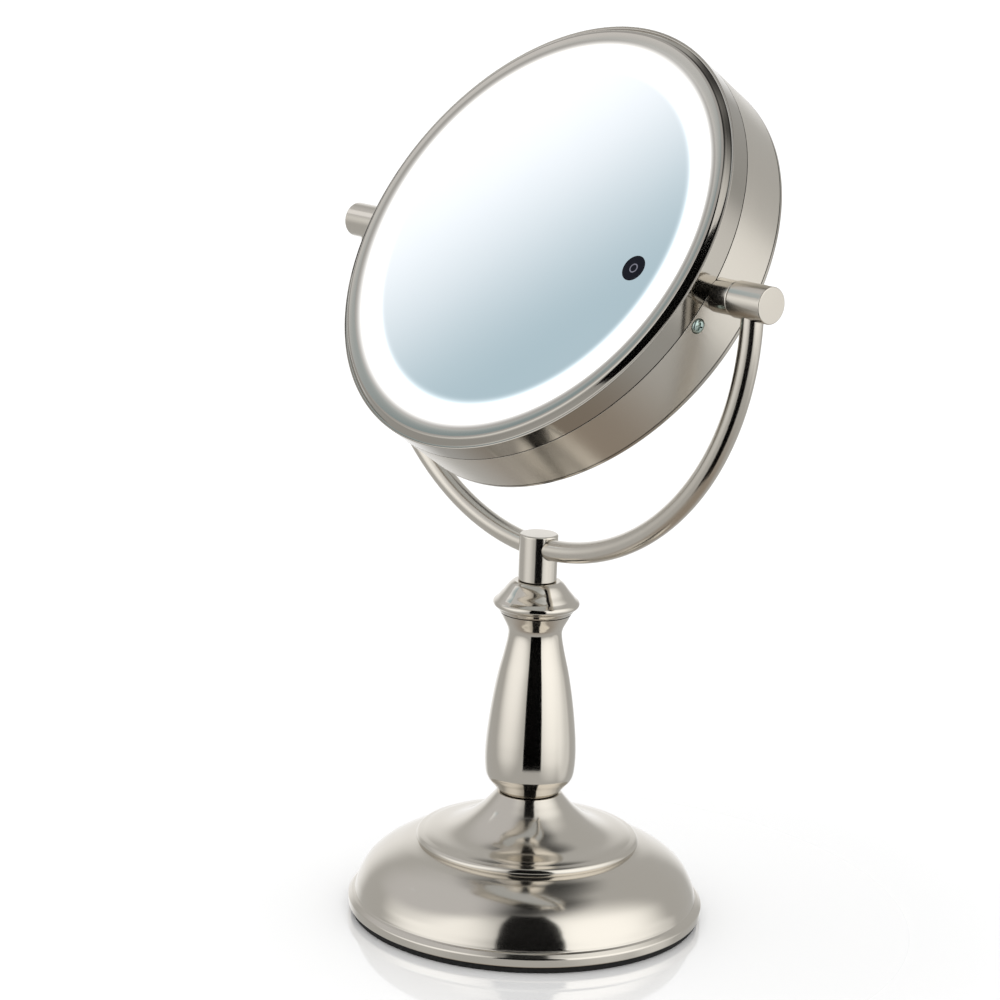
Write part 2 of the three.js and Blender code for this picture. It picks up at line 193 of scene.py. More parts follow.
def turned(outline, facets, bm=None):
    """Body of revolution about Z. The outline closes on itself, or starts and ends on the axis."""
    bm = bm or bmesh.new()
    rings = []
    for r, z in outline:
        if abs(r) < 1e-6:
            rings.append([bm.verts.new((0, 0, z))])
        else:
            rings.append([bm.verts.new((r * math.cos(TAU * k / facets), r * math.sin(TAU * k / facets), z))
                          for k in range(facets)])
    on_axis = len(rings[0]) == 1 and len(rings[-1]) == 1
    pairs = list(zip(rings, rings[1:])) if on_axis else list(zip(rings, [*rings[1:], rings[0]]))
    for low, high in pairs:
        for k in range(facets):
            n = (k + 1) % facets
            if len(low) == 1 and len(high) == 1:
                continue
            if len(low) == 1:
                bm.faces.new((low[0], high[n], high[k]))
            elif len(high) == 1:
                bm.faces.new((low[k], low[n], high[0]))
            else:
                bm.faces.new((low[k], low[n], high[n], high[k]))
    return bm


def swept(path, tangents, radius, sides, side_axis, bore=0.0):
    """Round tube along a plane path; side_axis is the plane's normal. A bore leaves it open at both ends."""
    bm = bmesh.new()

    def skin(r):
        rings = []
        for at, along in zip(path, tangents):
            across = along.cross(side_axis).normalized()
            rings.append([bm.verts.new(at + across * (r * math.cos(TAU * k / sides))
                                       + side_axis * (r * math.sin(TAU * k / sides)))
                          for k in range(sides)])
        for low, high in zip(rings, rings[1:]):
            for k in range(sides):
                n = (k + 1) % sides
                bm.faces.new((low[k], low[n], high[n], high[k]))
        return rings

    outer = skin(radius)
    if bore:
        inner = skin(bore)
        for i in (0, -1):
            for k in range(sides):
                n = (k + 1) % sides
                bm.faces.new((outer[i][k], outer[i][n], inner[i][n], inner[i][k]))
    else:
        bm.faces.new(outer[0])
        bm.faces.new(outer[-1])
    return bm


def cut(bm, *tools):
    """The first solid less the others, by Blender's exact boolean."""
    objects = []
    for i, source in enumerate((bm, *tools)):
        bmesh.ops.recalc_face_normals(source, faces=source.faces)
        mesh = bpy.data.meshes.new(f"cut_{i}")
        source.to_mesh(mesh)
        source.free()
        objects.append(bpy.data.objects.new(f"cut_{i}", mesh))
        bpy.context.scene.collection.objects.link(objects[-1])
    for tool in objects[1:]:
        step = objects[0].modifiers.new("cut", "BOOLEAN")
        step.operation = "DIFFERENCE"
        step.solver = "EXACT"
        step.object = tool
    bpy.context.view_layer.update()
    result = bmesh.new()
    result.from_object(objects[0], bpy.context.evaluated_depsgraph_get())
    for o in objects:
        mesh = o.data
        bpy.data.objects.remove(o)
        bpy.data.meshes.remove(mesh)
    bmesh.ops.remove_doubles(result, verts=result.verts, dist=1e-4)
    return result


def rod(r, z0, z1, facets=48, edge=0.0):
    return turned(rounded([(0, z0), (r, z0, edge), (r, z1, edge), (0, z1)], closed=False), facets)


def moved(bm, matrix):
    bmesh.ops.transform(bm, matrix=matrix, verts=bm.verts)
    return bm


def block(low, high):
    bm = bmesh.new()
    size = Vector(high) - Vector(low)
    middle = (Vector(high) + Vector(low)) / 2
    bmesh.ops.create_cube(bm, size=1, matrix=Matrix.Translation(middle) @ Matrix.Diagonal((*size, 1)))
    return bm


def radial(deg, y=0.0, z=0.0):
    """Turns something made along Z onto a radial axis of the head, then moves it across."""
    spin = Matrix.Rotation(math.radians(deg), 4, "Z")
    return Matrix.Translation((0, y, z)) @ spin @ Matrix.Rotation(math.radians(90), 4, "Y")


# ---- materials ----
class Nodes:
    """Short calls for building one material's node tree."""

    def __init__(self, name):
        self.hold(bpy.data.materials.new(name))

    @classmethod
    def of(cls, material):
        """Goes on building a material that is already there."""
        nodes = cls.__new__(cls)
        nodes.hold(material)
        return nodes

    def hold(self, material):
        self.material = material
        self.material.use_nodes = True
        self.tree = self.material.node_tree
        self.shader = self.tree.nodes["Principled BSDF"]

    def add(self, kind, **settings):
        node = self.tree.nodes.new(kind)
        for key, value in settings.items():
            setattr(node, key, value)
        return node

    def link(self, source, target):
        self.tree.links.new(source, target)

    def math(self, operation, a, b=0.0, clamp=False):
        node = self.add("ShaderNodeMath", operation=operation, use_clamp=clamp)
        for socket, value in zip(node.inputs, (a, b)):
            if isinstance(value, (int, float)):
                socket.default_value = value
            else:
                self.link(value, socket)
        return node.outputs[0]

    def ramp(self, source, low, high, to_low=0.0, to_high=1.0):
        """Maps low..high of a value to to_low..to_high, with smooth ends."""
        node = self.add("ShaderNodeMapRange", interpolation_type="SMOOTHSTEP")
        for key, value in (("From Min", low), ("From Max", high), ("To Min", to_low), ("To Max", to_high)):
            node.inputs[key].default_value = value
        self.link(source, node.inputs["Value"])
        return node.outputs["Result"]

    def noise(self, scale, detail=3.0, roughness=0.55, vector=None, w=None):
        node = self.add("ShaderNodeTexNoise", noise_dimensions="3D" if w is None else "4D")
        node.inputs["Scale"].default_value = scale
        node.inputs["Detail"].default_value = detail
        node.inputs["Roughness"].default_value = roughness
        self.link(vector or self.place(), node.inputs["Vector"])
        if w is not None:
            self.link(w, node.inputs["W"])
        return node.outputs["Fac"]

    def place(self):
        return self.add("ShaderNodeTexCoord").outputs["Object"]

    def mix(self, factor, a, b):
        node = self.add("ShaderNodeMix", data_type="RGBA")
        self.link(factor, node.inputs["Factor"])
        for socket, colour in ((node.inputs[6], a), (node.inputs[7], b)):
            if isinstance(colour, tuple):
                socket.default_value = (*colour, 1)
            else:
                self.link(colour, socket)
        return node.outputs[2]

    def bump(self, height, strength, distance):
        node = self.add("ShaderNodeBump")
        node.inputs["Strength"].default_value = strength
        node.inputs["Distance"].default_value = distance
        self.link(height, node.inputs["Height"])
        self.link(node.outputs["Normal"], self.shader.inputs["Normal"])

    def set(self, **values):
        for key, value in values.items():
            socket = self.shader.inputs[key.replace("_", " ")]
            if isinstance(value, (int, float)):
                socket.default_value = value
            elif isinstance(value, tuple):
                socket.default_value = (*value, 1)
            else:
                self.link(value, socket)
        return self.material


NICKEL_WARM = (0.63, 0.585, 0.52)
NICKEL_COOL = (0.69, 0.66, 0.605)


def spun_nickel(name, roughness=0.085, anisotropy=0.5, line=0.22, shade=1.0):
    """Satin nickel brushed round the piece's own Z axis, as on a lathe. line is the brush pitch in mm; shade
    below 1 darkens the colour, as painted shade.
    """
    n = Nodes(name)
    split = n.add("ShaderNodeSeparateXYZ")
    n.link(n.place(), split.inputs[0])
    x, y, z = split.outputs
    r = n.math("SQRT", n.math("ADD", n.math("MULTIPLY", x, x), n.math("MULTIPLY", y, y)))
    safe = n.math("MAXIMUM", r, 1e-5)
    fine = 1 / (line * MM)
    around = n.add("ShaderNodeCombineXYZ")
    for socket, value in zip(around.inputs, (n.math("DIVIDE", x, safe), n.math("DIVIDE", y, safe))):
        n.link(n.math("MULTIPLY", value, 6.0), socket)
    n.link(n.math("MULTIPLY", z, fine), around.inputs[2])
    lines = n.noise(1.0, 5.0, 0.65, around.outputs[0], n.math("MULTIPLY", r, fine))
    smear = n.noise(28.0, 3.0)
    tone = n.noise(11.0, 2.0)
    grain = n.math("ADD", n.math("MULTIPLY", lines, 0.75), n.math("MULTIPLY", smear, 0.25))
    n.bump(lines, 0.10, 0.00004)
    tangent = n.add("ShaderNodeTangent", direction_type="RADIAL", axis="Z")
    n.link(tangent.outputs[0], n.shader.inputs["Tangent"])
    # Painted shade: shade scales both nickel colours down, for darker copies of this nickel.
    warm, cool = (tuple(shade * c for c in colour) for colour in (NICKEL_WARM, NICKEL_COOL))
    colour = n.mix(n.math("ADD", n.math("MULTIPLY", tone, 0.7), n.math("MULTIPLY", lines, 0.3)), warm, cool)
    return n.set(
        Base_Color=colour,
        Metallic=1.0,
        Roughness=n.ramp(grain, 0.25, 0.75, roughness - 0.03, roughness + 0.04),
        Anisotropic=anisotropy,
        Anisotropic_Rotation=0.25,
    )


def drawn_nickel(name):
    """Nickel on the bent tube: fine lines along the tube, nearly polished."""
    n = Nodes(name)
    split = n.add("ShaderNodeSeparateXYZ")
    n.link(n.place(), split.inputs[0])
    x, y, z = split.outputs
    up = n.math("SUBTRACT", z, YOKE_Z * MM)
    rho = n.math("SQRT", n.math("ADD", n.math("MULTIPLY", x, x), n.math("MULTIPLY", up, up)))
    turn = n.math("ARCTAN2", up, x)
    along = n.add("ShaderNodeCombineXYZ")
    n.link(n.math("MULTIPLY", rho, 2600.0), along.inputs[0])
    n.link(n.math("MULTIPLY", y, 2600.0), along.inputs[1])
    n.link(n.math("MULTIPLY", turn, 9.0), along.inputs[2])
    lines = n.noise(1.0, 4.0, 0.6, along.outputs[0])
    smear = n.noise(40.0, 2.0)
    n.bump(lines, 0.06, 0.00003)
    return n.set(
        Base_Color=n.mix(smear, NICKEL_WARM, NICKEL_COOL),
        Metallic=1.0,
        Roughness=n.ramp(lines, 0.3, 0.7, 0.14, 0.22),
    )


def plated_steel(name, colour, other, roughness=0.25):
    n = Nodes(name)
    spots = n.noise(420.0, 4.0)
    n.bump(n.noise(1500.0, 2.0), 0.1, 0.00003)
    return n.set(
        Base_Color=n.mix(spots, colour, other),
        Metallic=1.0,
        Roughness=n.ramp(spots, 0.3, 0.7, roughness - 0.07, roughness + 0.1),
    )


def moulded(name, colour, other, roughness=0.5, grain=900.0, depth=0.00006):
    """Moulded plastic, rubber or casting with a fine grain."""
    n = Nodes(name)
    fine = n.noise(grain, 4.0)
    broad = n.noise(35.0, 3.0)
    n.bump(fine, 0.3, depth)
    return n.set(
        Base_Color=n.mix(broad, colour, other),
        Roughness=n.ramp(fine, 0.3, 0.7, roughness - 0.08, roughness + 0.08),
    )


def silvered_glass(name):
    """Mirror glass: a clean reflection with the faintest haze and dust."""
    n = Nodes(name)
    haze = n.noise(22.0, 4.0)
    dust = n.noise(2600.0, 1.0)
    return n.set(
        Base_Color=n.mix(haze, (0.90, 0.94, 0.96), (0.94, 0.96, 0.98)),
        Metallic=1.0,
        Roughness=n.math("ADD", n.ramp(haze, 0.3, 0.8, 0.004, 0.02), n.ramp(dust, 0.72, 0.8, 0.0, 0.05)),
    )


def axis_distance(n):
    """Distance in metres from the piece's own Z axis."""
    split = n.add("ShaderNodeSeparateXYZ")
    n.link(n.place(), split.inputs[0])
    x, y = split.outputs[:2]
    return n.math("SQRT", n.math("ADD", n.math("MULTIPLY", x, x), n.math("MULTIPLY", y, y)))


def front_glass(name):
    """The silvered glass, with a painted glow of the ring's light near its outer edge."""
    n = Nodes.of(silvered_glass(name))
    r = axis_distance(n)
    # Painted light: the glass glows near its outer edge, as if lit by the ring.
    painted_glow = n.math("POWER", n.ramp(r, (MIRROR_R - 6.5) * MM, (MIRROR_R + 0.3) * MM), 3.0)
    n.link(n.mix(painted_glow, (0.95, 0.97, 1.0), (1.0, 1.0, 1.0)), n.shader.inputs["Emission Color"])
    n.link(n.math("MULTIPLY", painted_glow, 0.95), n.shader.inputs["Emission Strength"])
    return n.material


def lit_bezel(name):
    """The bezel's polished nickel, darkened as painted shade, with a painted glow of the ring's light on its
    inner lip.
    """
    # shade=0.72 darkens this nickel's colour: painted shade.
    n = Nodes.of(spun_nickel(name, roughness=0.08, anisotropy=0.3, line=0.4, shade=0.72))
    # Painted light: the inner lip glows white, as if lit by the ring.
    painted_glow = n.math("POWER", n.ramp(axis_distance(n), (LIT_R + 5.5) * MM, (LIT_R - 0.5) * MM), 2.4)
    n.shader.inputs["Emission Color"].default_value = (1.0, 1.0, 1.0, 1.0)
    n.link(n.math("MULTIPLY", painted_glow, 1.1), n.shader.inputs["Emission Strength"])
    return n.material


def lit_opal(name):
    """Opal ring lit from behind: brightest over the LEDs, a little softer at both edges."""
    n = Nodes(name)
    r = axis_distance(n)
    rise = n.ramp(r, (MIRROR_R - 0.5) * MM, (MIRROR_R + 4) * MM, 0.8, 1.0)
    fall = n.ramp(r, (LIT_R - 4) * MM, (LIT_R + 1) * MM, 1.0, 0.75)
    speck = n.noise(160.0, 2.0)
    level = n.math("MULTIPLY", n.math("MULTIPLY", rise, fall), n.ramp(speck, 0.2, 0.8, 2.3, 2.5))
    n.link(level, n.shader.inputs["Emission Strength"])
    n.shader.inputs["Emission Color"].default_value = (0.98, 0.99, 1.0, 1)
    n.bump(speck, 0.05, 0.00005)
    return n.set(Base_Color=n.mix(speck, (0.95, 0.96, 0.97), (0.98, 0.98, 0.98)), Roughness=0.4)


def key_black(name):
    n = Nodes(name)
    haze = n.noise(300.0, 3.0)
    return n.set(
        Base_Color=n.mix(haze, (0.003, 0.003, 0.007), (0.007, 0.007, 0.012)),
        Roughness=n.ramp(haze, 0.3, 0.8, 0.12, 0.2),
        Specular_IOR_Level=0.1,
    )


def key_grey(name):
    n = Nodes(name)
    haze = n.noise(600.0, 3.0)
    return n.set(Base_Color=n.mix(haze, (0.13, 0.13, 0.17), (0.18, 0.18, 0.22)), Roughness=0.35)


def circuit_board(name):
    n = Nodes(name)
    tracks = n.noise(260.0, 1.0)
    n.bump(tracks, 0.2, 0.00004)
    green = n.mix(n.ramp(tracks, 0.48, 0.52), (0.02, 0.12, 0.05), (0.04, 0.2, 0.09))
    return n.set(Base_Color=green, Roughness=0.35)


def make_materials():
    return {
        "spun": spun_nickel("spun satin nickel", roughness=0.115),
        "drum": spun_nickel("brushed nickel band", roughness=0.23, anisotropy=0.7, line=0.3),
        # bezel and lit_bezel use shade below 1: painted shade, darker copies of the same nickel.
        "bezel": spun_nickel("polished nickel bezel", roughness=0.1, anisotropy=0.3, line=0.4, shade=0.8),
        "lit_bezel": lit_bezel("polished nickel round the light"),
        "column": spun_nickel("turned nickel column", roughness=0.08, anisotropy=0.5, line=0.3),
        "knob": spun_nickel("turned nickel knob", roughness=0.15, anisotropy=0.4, line=0.25),
        "tube": drawn_nickel("drawn nickel tube"),
        "rubber": moulded("black rubber", (0.003, 0.003, 0.003), (0.006, 0.006, 0.006), 0.85),
        "mirror": silvered_glass("silvered glass"),
        "front_mirror": front_glass("front glass"),
        "opal": lit_opal("lit opal ring"),
        "key": key_black("touch key window"),
        "key_mark": key_grey("touch key mark"),
        "zinc": plated_steel("passivated zinc", (0.42, 0.58, 0.55), (0.62, 0.70, 0.66)),
        "steel": plated_steel("plated steel", (0.55, 0.56, 0.57), (0.66, 0.66, 0.66)),
        "iron": moulded("cast iron", (0.03, 0.03, 0.032), (0.07, 0.07, 0.07), 0.7, 300.0, 0.0003),
        "white": moulded("white moulding", (0.80, 0.80, 0.78), (0.86, 0.86, 0.84), 0.45),
        "black": moulded("black moulding", (0.015, 0.015, 0.017), (0.03, 0.03, 0.032), 0.5),
        "board": circuit_board("circuit board"),
        "nylon": moulded("natural nylon", (0.70, 0.67, 0.58), (0.78, 0.75, 0.68), 0.4),
        "cell": moulded("sleeved cell", (0.03, 0.035, 0.045), (0.06, 0.065, 0.08), 0.3, 200.0),
        "wire": moulded("red wire", (0.45, 0.02, 0.02), (0.6, 0.05, 0.04), 0.4),
    }


# ---- the stand ----
def base_outside():
    """Flange, dome, stepped lip and flared cone, from the bottom up."""
    flange = rounded([(BASE_R - 1.6, PAD_T + GAP), (BASE_R - 0.2, PAD_T + GAP, 1.0), (BASE_R, 6.9, 1.2),
                      (78.4, 8.5, 0.5), (77.2, 9.0, 0.5), (77.1, 9.8)], closed=False)
    dome = smooth([(77.0, 10.2), (75.4, 15.0), (71.5, 21.5), (65.0, 27.0), (57.0, 31.0), (50.6, 33.0)])
    lip = arc(48.2, 34.9, 1.9, -50, 75, 8)
    cone = smooth([(47.0, 37.1), (44.0, 38.0), (36.0, 39.7), (28.0, 43.6), (21.4, 48.8), (17.6, 52.8),
                   (14.9, NECK_Z - 0.5)])
    return [*flange, *dome, *lip, *cone, (14.5, NECK_Z)]


def make_base(looks):
    inside = [(ROD_HOLE_R, NECK_Z), (ROD_HOLE_R, 54.7), (13, 54.7), (16.2, 51.4), (20, 47.4), (26.9, 41.9),
              (35.4, 37.9), (43.4, 36.2), (47.0, 34.4), (48.4, 31.6), (56.4, 29.0), (63.9, 25.0), (70, 20.0),
              (73.6, 14.4), (75.2, 9), (77.4, 7.4), (77.4, PAD_T + GAP)]
    shell = turned([*base_outside(), *inside], FINE)
    finished("base_cover", shell, UPRIGHT, "stand", looks["spun"], ["base_shell"])
    pad = turned(rounded([(0, 0), (BASE_R - 1.6, 0, 0.7), (BASE_R - 1.6, PAD_T, 0.5), (0, PAD_T)],
                         closed=False), FINE)
    finished("base_rubber", pad, UPRIGHT, "stand", looks["rubber"], ["base_pad"])


def make_column(looks):
    foot = rounded([(13.2, NECK_Z + GAP), (14.3, 57.8), (16.4, 60.3, 0.3), (17.6, 61.6)], closed=False)
    body = smooth([(17.6, 61.6), (18.9, 63.3), (19.9, 66.4), (20.4, 73.0), (20.2, 80.0), (19.6, 87.0),
                   (18.6, 95.5), (17.3, 104.0), (15.7, 112.5), (13.9, 120.0), (12.5, 126.4), (12.0, 130.4),
                   (12.4, 132.8), (13.4, 135.0), (14.6, 137.2), (15.9, CAP_Z - GAP)])
    hollow = [(9.6, CAP_Z - GAP), (9.6, 129), (11, 122.6), (13.2, 113), (16.2, 98), (18, 84), (18.2, 73),
              (17.3, 66.8), (14.4, 62.6), (11.8, 60.6), (11.8, NECK_Z + GAP)]
    pear = turned([*foot[:-1], *body, *hollow], ROUND)
    finished("column_pear", pear, UPRIGHT, "stand", looks["column"], ["stem_baluster"])

    cap = [(3.4, 134.5), (9.3, 134.5), (9.3, CAP_Z), (15.9, CAP_Z), (16.3, CAP_Z + 0.3),
           *smooth([(17.0, 141.3), (17.6, 142.2)], 4), *arc(17.5, 144.3, 1.75, -62, 62, 12),
           *smooth([(17.3, 146.7), (16.2, 148.1), (14.7, 149.8), (13.1, 151.9), (11.9, 153.3),
                    (10.9, 154.1), (10.2, 154.5)], 5), (3.4, 154.5)]
    finished("column_cap", turned(cap, ROUND), UPRIGHT, "stand", looks["column"],
             ["stem_cap"])


def yoke_path(steps=160):
    """Points and directions along the U: up-down arms and a half circle between them."""
    rise = ARM_TOP_Z - YOKE_Z
    points = [Vector((-YOKE_R, 0, ARM_TOP_Z)), Vector((-YOKE_R, 0, YOKE_Z + rise / 2))]
    ways = [Vector((0, 0, -1)), Vector((0, 0, -1))]
    for i in range(steps + 1):
        a = math.pi * (1 + i / steps)
        points.append(Vector((YOKE_R * math.cos(a), 0, YOKE_Z + YOKE_R * math.sin(a))))
        ways.append(Vector((-math.sin(a), 0, math.cos(a))))
    points += [Vector((YOKE_R, 0, YOKE_Z + rise / 2)), Vector((YOKE_R, 0, ARM_TOP_Z))]
    ways += [Vector((0, 0, 1)), Vector((0, 0, 1))]
    return points, ways


def make_yoke(looks):
    side = Vector((0, 1, 0))
    tube = swept(*yoke_path(), TUBE_R, TUBE_SIDES, side, bore=TUBE_BORE_R)
    finished("yoke_bow", tube, UPRIGHT, "stand", looks["tube"], ["yoke_tube"])
    post = turned(rounded([(0, POST_Z0), (POST_R, POST_Z0, 0.3), (POST_R, POST_Z1, 0.9), (0, POST_Z1)],
                          closed=False), ROUND)
    saddle = swept(*yoke_path(), TUBE_R + GAP / 2, TUBE_SIDES, side)
    socket = rod(3.3, POST_Z0 - 1, POST_Z0 + 6.5)
    finished("yoke_boss", cut(post, saddle, socket), UPRIGHT, "stand", looks["knob"],
             ["yoke_post"])


def make_barrels(looks):
    """Fixed barrels, made along +Z and turned to each side; the U's arm rises into each from below."""
    inner = COLLAR_X + GAP
    for word, sign in (("right", 1), ("left", -1)):
        place = Matrix.Translation((0, 0, TILT_Z * MM)) @ Matrix.Rotation(sign * math.pi / 2, 4, "Y")
        barrel = turned(rounded([(0, inner), (KNOB_R, inner, 0.45), (KNOB_R, KNOB_X, 0.5), (0, KNOB_X)],
                                closed=False), ROUND)
        bore = rod(PIN_R + GAP, inner - 1, PIN_X + GAP)
        down = Matrix.Translation((0, 0, YOKE_R)) @ Matrix.Rotation(sign * math.pi / 2, 4, "Y")
        socket = moved(rod(TUBE_R + GAP / 2, -3, KNOB_R + 2, 64), down)
        finished(f"barrel_{word}", cut(barrel, bore, socket), place, "stand",
                 looks["knob"], [f"pivot_barrel_{word}"])


# ---- the head ----
def make_housing(looks):
    in_r = DRUM_R - WALL
    top = SEAM_Z - SEAM_BELOW
    drum = turned(rounded([(in_r, REAR_EDGE_Z), (DRUM_R, REAR_EDGE_Z, 0.25), (DRUM_R, top, 0.08),
                           (in_r, top)]), FINE)
    pivot_holes = [moved(rod(PIVOT_HOLE_R, 95, 110), radial(deg, PIVOT_Y, PIVOT_Z)) for deg in (0, 180)]
    lock_hole = moved(turned([(0, 95), (1.8, 95), (1.8, 102.9), (3.0, 103.1), (3.3, 103.8), (3.6, 104.4),
                              (3.6, 110), (0, 110)], 48), radial(LOCK_DEG, 0, LOCK_Z))
    finished("head_band_rear", cut(drum, *pivot_holes, lock_hole), HEAD_PLACE, "head",
             looks["drum"], ["drum_shell"])

    low = SEAM_Z + SEAM_ABOVE
    skirt = in_r - GAP
    skirt_in = skirt - 1.3
    moulding = [
        *rounded([(skirt_in, -5), (skirt, -5), (skirt, low), (DRUM_R, low, 0.08),
                  (DRUM_R, FRONT_EDGE_Z - 0.1, 0.25), (103.5, FRONT_EDGE_Z + 0.05, 0.15),
                  (103.2, 12.75)], closed=False),
        *smooth([(102.8, 12.72), (102.4, 13.04), (101.45, 14.05), (100.5, 15.05), (99.7, 15.36), (98.6, 15.4),
                 (97.0, 15.28), (95.4, 15.02), (94.0, 14.64), (93.1, 14.28)], 5),
        (92.65, 14.06), (92.6, LIP_Z), (DIFFUSER_R + 0.4, LIP_Z),
        (97.4, LIP_Z - 0.2), (99.9, 13.6), (101.5, 12.2), (skirt_in, 9)]
    cover = turned(moulding, FINE)
    notches = [block((x0, PIVOT_Y - 7, -6), (x1, PIVOT_Y + 7, 2))
               for x0, x1 in ((95, skirt + 0.2), (-skirt - 0.2, -95))]
    thread = moved(rod(1.75, 95, 102.4), radial(LOCK_DEG, 0, LOCK_Z))
    gasket_r = DRUM_R - 0.35
    gasket = turned([(skirt + 0.05, low - 0.34), (gasket_r, low - 0.34), (gasket_r, low + 0.04),
                     (skirt + 0.05, low + 0.04)], FINE)
    finished("seam_gasket", gasket, HEAD_PLACE, "head", looks["rubber"])
    finished("head_cover_front", cut(cover, *notches, thread), HEAD_PLACE, "head",
             looks["lit_bezel"], ["front_cover"])

    back = REAR_EDGE_Z - GAP
    rear = [(skirt, -17), (skirt_in, -17), (skirt_in, -22.6), (99, -24.3), (95.6, -22.2), (95.6, -21.8),
            (LIT_R, -21.8), (LIT_R, -22.2), (LIT_R + 0.1, -22.5),
            *smooth([(93.2, -23.0), (94.2, -23.8), (95.4, -24.4), (96.2, -24.6), (97.0, -24.7)], 4),
            *arc(100.2, -23.1, 3.2, 210, 338, 16), (103.4, -24.0), (103.8, -23.8), (DRUM_R, -23.4),
            (DRUM_R, back), (skirt, back)]
    finished("head_bezel_rear", turned(rear, FINE), HEAD_PLACE, "head", looks["bezel"],
             ["rear_bezel"])


def make_front(looks):
    edge = 0.25
    glass = turned(rounded([(0, GLASS_Z0), (MIRROR_R, GLASS_Z0, edge), (MIRROR_R, GLASS_Z1, edge),
                            (0, GLASS_Z1)], closed=False), FINE)
    hole = moved(rod(KEY_R + GAP / 2, 0, 20, 64), Matrix.Translation((KEY_X, KEY_Y, 0)))
    finished("glass_front", cut(glass, hole), HEAD_PLACE, "head", looks["front_mirror"],
             ["front_mirror"])
    opal = turned(rounded([(MIRROR_R + 0.1, GLASS_Z0), (DIFFUSER_R, GLASS_Z0), (DIFFUSER_R, GLASS_Z1, edge),
                           (MIRROR_R + 0.1, GLASS_Z1, edge)]), FINE)
    finished("lit_ring", opal, HEAD_PLACE, "head", looks["opal"], ["light_diffuser"])

    key_place = HEAD_PLACE @ Matrix.Translation((KEY_X * MM, KEY_Y * MM, 0))
    groove_in, groove_out, sunk = 1.55, 2.15, 0.12
    key = turned(rounded([(0, GLASS_Z0), (KEY_R, GLASS_Z0), (KEY_R, GLASS_Z1, 0.15),
                          (groove_out, GLASS_Z1), (groove_out, GLASS_Z1 - sunk),
                          (groove_in, GLASS_Z1 - sunk), (groove_in, GLASS_Z1), (0, GLASS_Z1)],
                         closed=False), 64)
    finished("key_window", key, key_place, "head", looks["key"], ["touch_key"])
    low, high = GLASS_Z1 - sunk + 0.02, GLASS_Z1 + 0.03
    mark = turned(rounded([(groove_in + 0.02, low), (groove_out - 0.02, low), (groove_out - 0.02, high, 0.02),
                           (groove_in + 0.02, high, 0.02)]), 64)
    finished("key_mark", mark, key_place, "head", looks["key_mark"])


def make_rear(looks):
    def dish(r, z):
        return r, z + REAR_SAG * (1 - (r / REAR_RIM_R) ** 2)

    steps = 24
    radii = [REAR_RIM_R * i / steps for i in range(steps + 1)]
    outline = [dish(r, REAR_RIM_Z) for r in radii]
    outline += [dish(r, REAR_RIM_Z + GLASS_T) for r in reversed(radii)]
    finished("glass_rear", turned(outline, FINE), HEAD_PLACE, "head", looks["mirror"],
             ["rear_mirror"])


def make_head_pivots(looks):
    bore = PIN_R + 0.4
    for word, deg in (("right", 0), ("left", 180)):
        collar = turned(rounded([(bore, 100), (COLLAR_R, 100), (COLLAR_R, COLLAR_X, 0.9),
                                 (bore, COLLAR_X, 0.2)]), ROUND)
        across = radial(deg, PIVOT_Y, PIVOT_Z)
        drum = moved(rod(DRUM_R + GAP / 2, -30, 30, FINE), across.inverted())
        place = HEAD_PLACE @ radial(deg, PIVOT_Y * MM, PIVOT_Z * MM)
        finished(f"collar_{word}", cut(collar, drum), place, "head", looks["knob"],
                 [f"pivot_collar_{word}"])


def make_lock_screw(looks):
    domed = turned([(0, 97.6), (1.4, 97.6), (1.4, 103.3), (2.75, 103.3),
                    *smooth([(2.9, 103.5), (2.85, 104.0), (2.4, 104.6), (1.4, 104.95), (0.4, 105.08)], 4),
                    (0, 105.1)], 64)
    slots = [moved(block((-1.75, -0.33, 104.1), (1.75, 0.33, 106)), Matrix.Rotation(math.radians(a), 4, "Z"))
             for a in (20, 110)]
    finished("lock_screw", cut(domed, *slots), HEAD_PLACE @ radial(LOCK_DEG, 0, LOCK_Z * MM), "head",
             looks["zinc"], ["cover_lock_screw"])


def dress_hidden_nodes(looks):
    """The CAD nodes inside keep their shapes and get a better material."""
    by_slot = {"plated_steel": "steel", "zinc_plated_steel": "zinc", "cast_iron": "iron",
               "white_plastic": "white", "black_plastic": "black", "circuit_board": "board",
               "nylon": "nylon", "battery_can": "cell", "red_wire": "wire"}
    slot_of = {s["node"]: s["material_slot"] for s in frame["record"]["subparts"]}
    for name, node in frame["nodes"].items():
        if slot_of[name] in by_slot:
            node.data.materials.clear()
            node.data.materials.append(looks[by_slot[slot_of[name]]])


# ---- studio, in metres ----
CAMERA_TURN = math.radians(47.44)  # the camera's place round the object, from -Y towards +X
CAMERA_OUT = 1.3525
CAMERA_UP = 0.5095
CAMERA_YAW = math.radians(0.52)  # to the left of the column
CAMERA_DOWN = math.radians(13.02)
CAMERA_ROLL = math.radians(2.2)
LENS = 113.5
SHIFT = (-0.0132, -0.014)
FLOOR_R = 30

TOWARDS_CAMERA = Vector((math.sin(CAMERA_TURN), -math.cos(CAMERA_TURN), 0))
CAMERA_RIGHT = Vector((math.cos(CAMERA_TURN), math.sin(CAMERA_TURN), 0))


def make_camera():
    data = bpy.data.cameras.new("camera")
    data.lens, data.sensor_width = LENS, 36.0
    data.shift_x, data.shift_y = SHIFT
    data.clip_end = 60
    camera = bpy.data.objects.new("camera", data)
    bpy.context.scene.collection.objects.link(camera)
    camera.matrix_world = (
        Matrix.Translation(TOWARDS_CAMERA * CAMERA_OUT + Vector((0, 0, CAMERA_UP)))
        @ Matrix.Rotation(CAMERA_TURN + CAMERA_YAW, 4, "Z")
        @ Matrix.Rotation(math.pi / 2 - CAMERA_DOWN, 4, "X")
        @ Matrix.Rotation(CAMERA_ROLL, 4, "Z")
    )
    bpy.context.scene.camera = camera


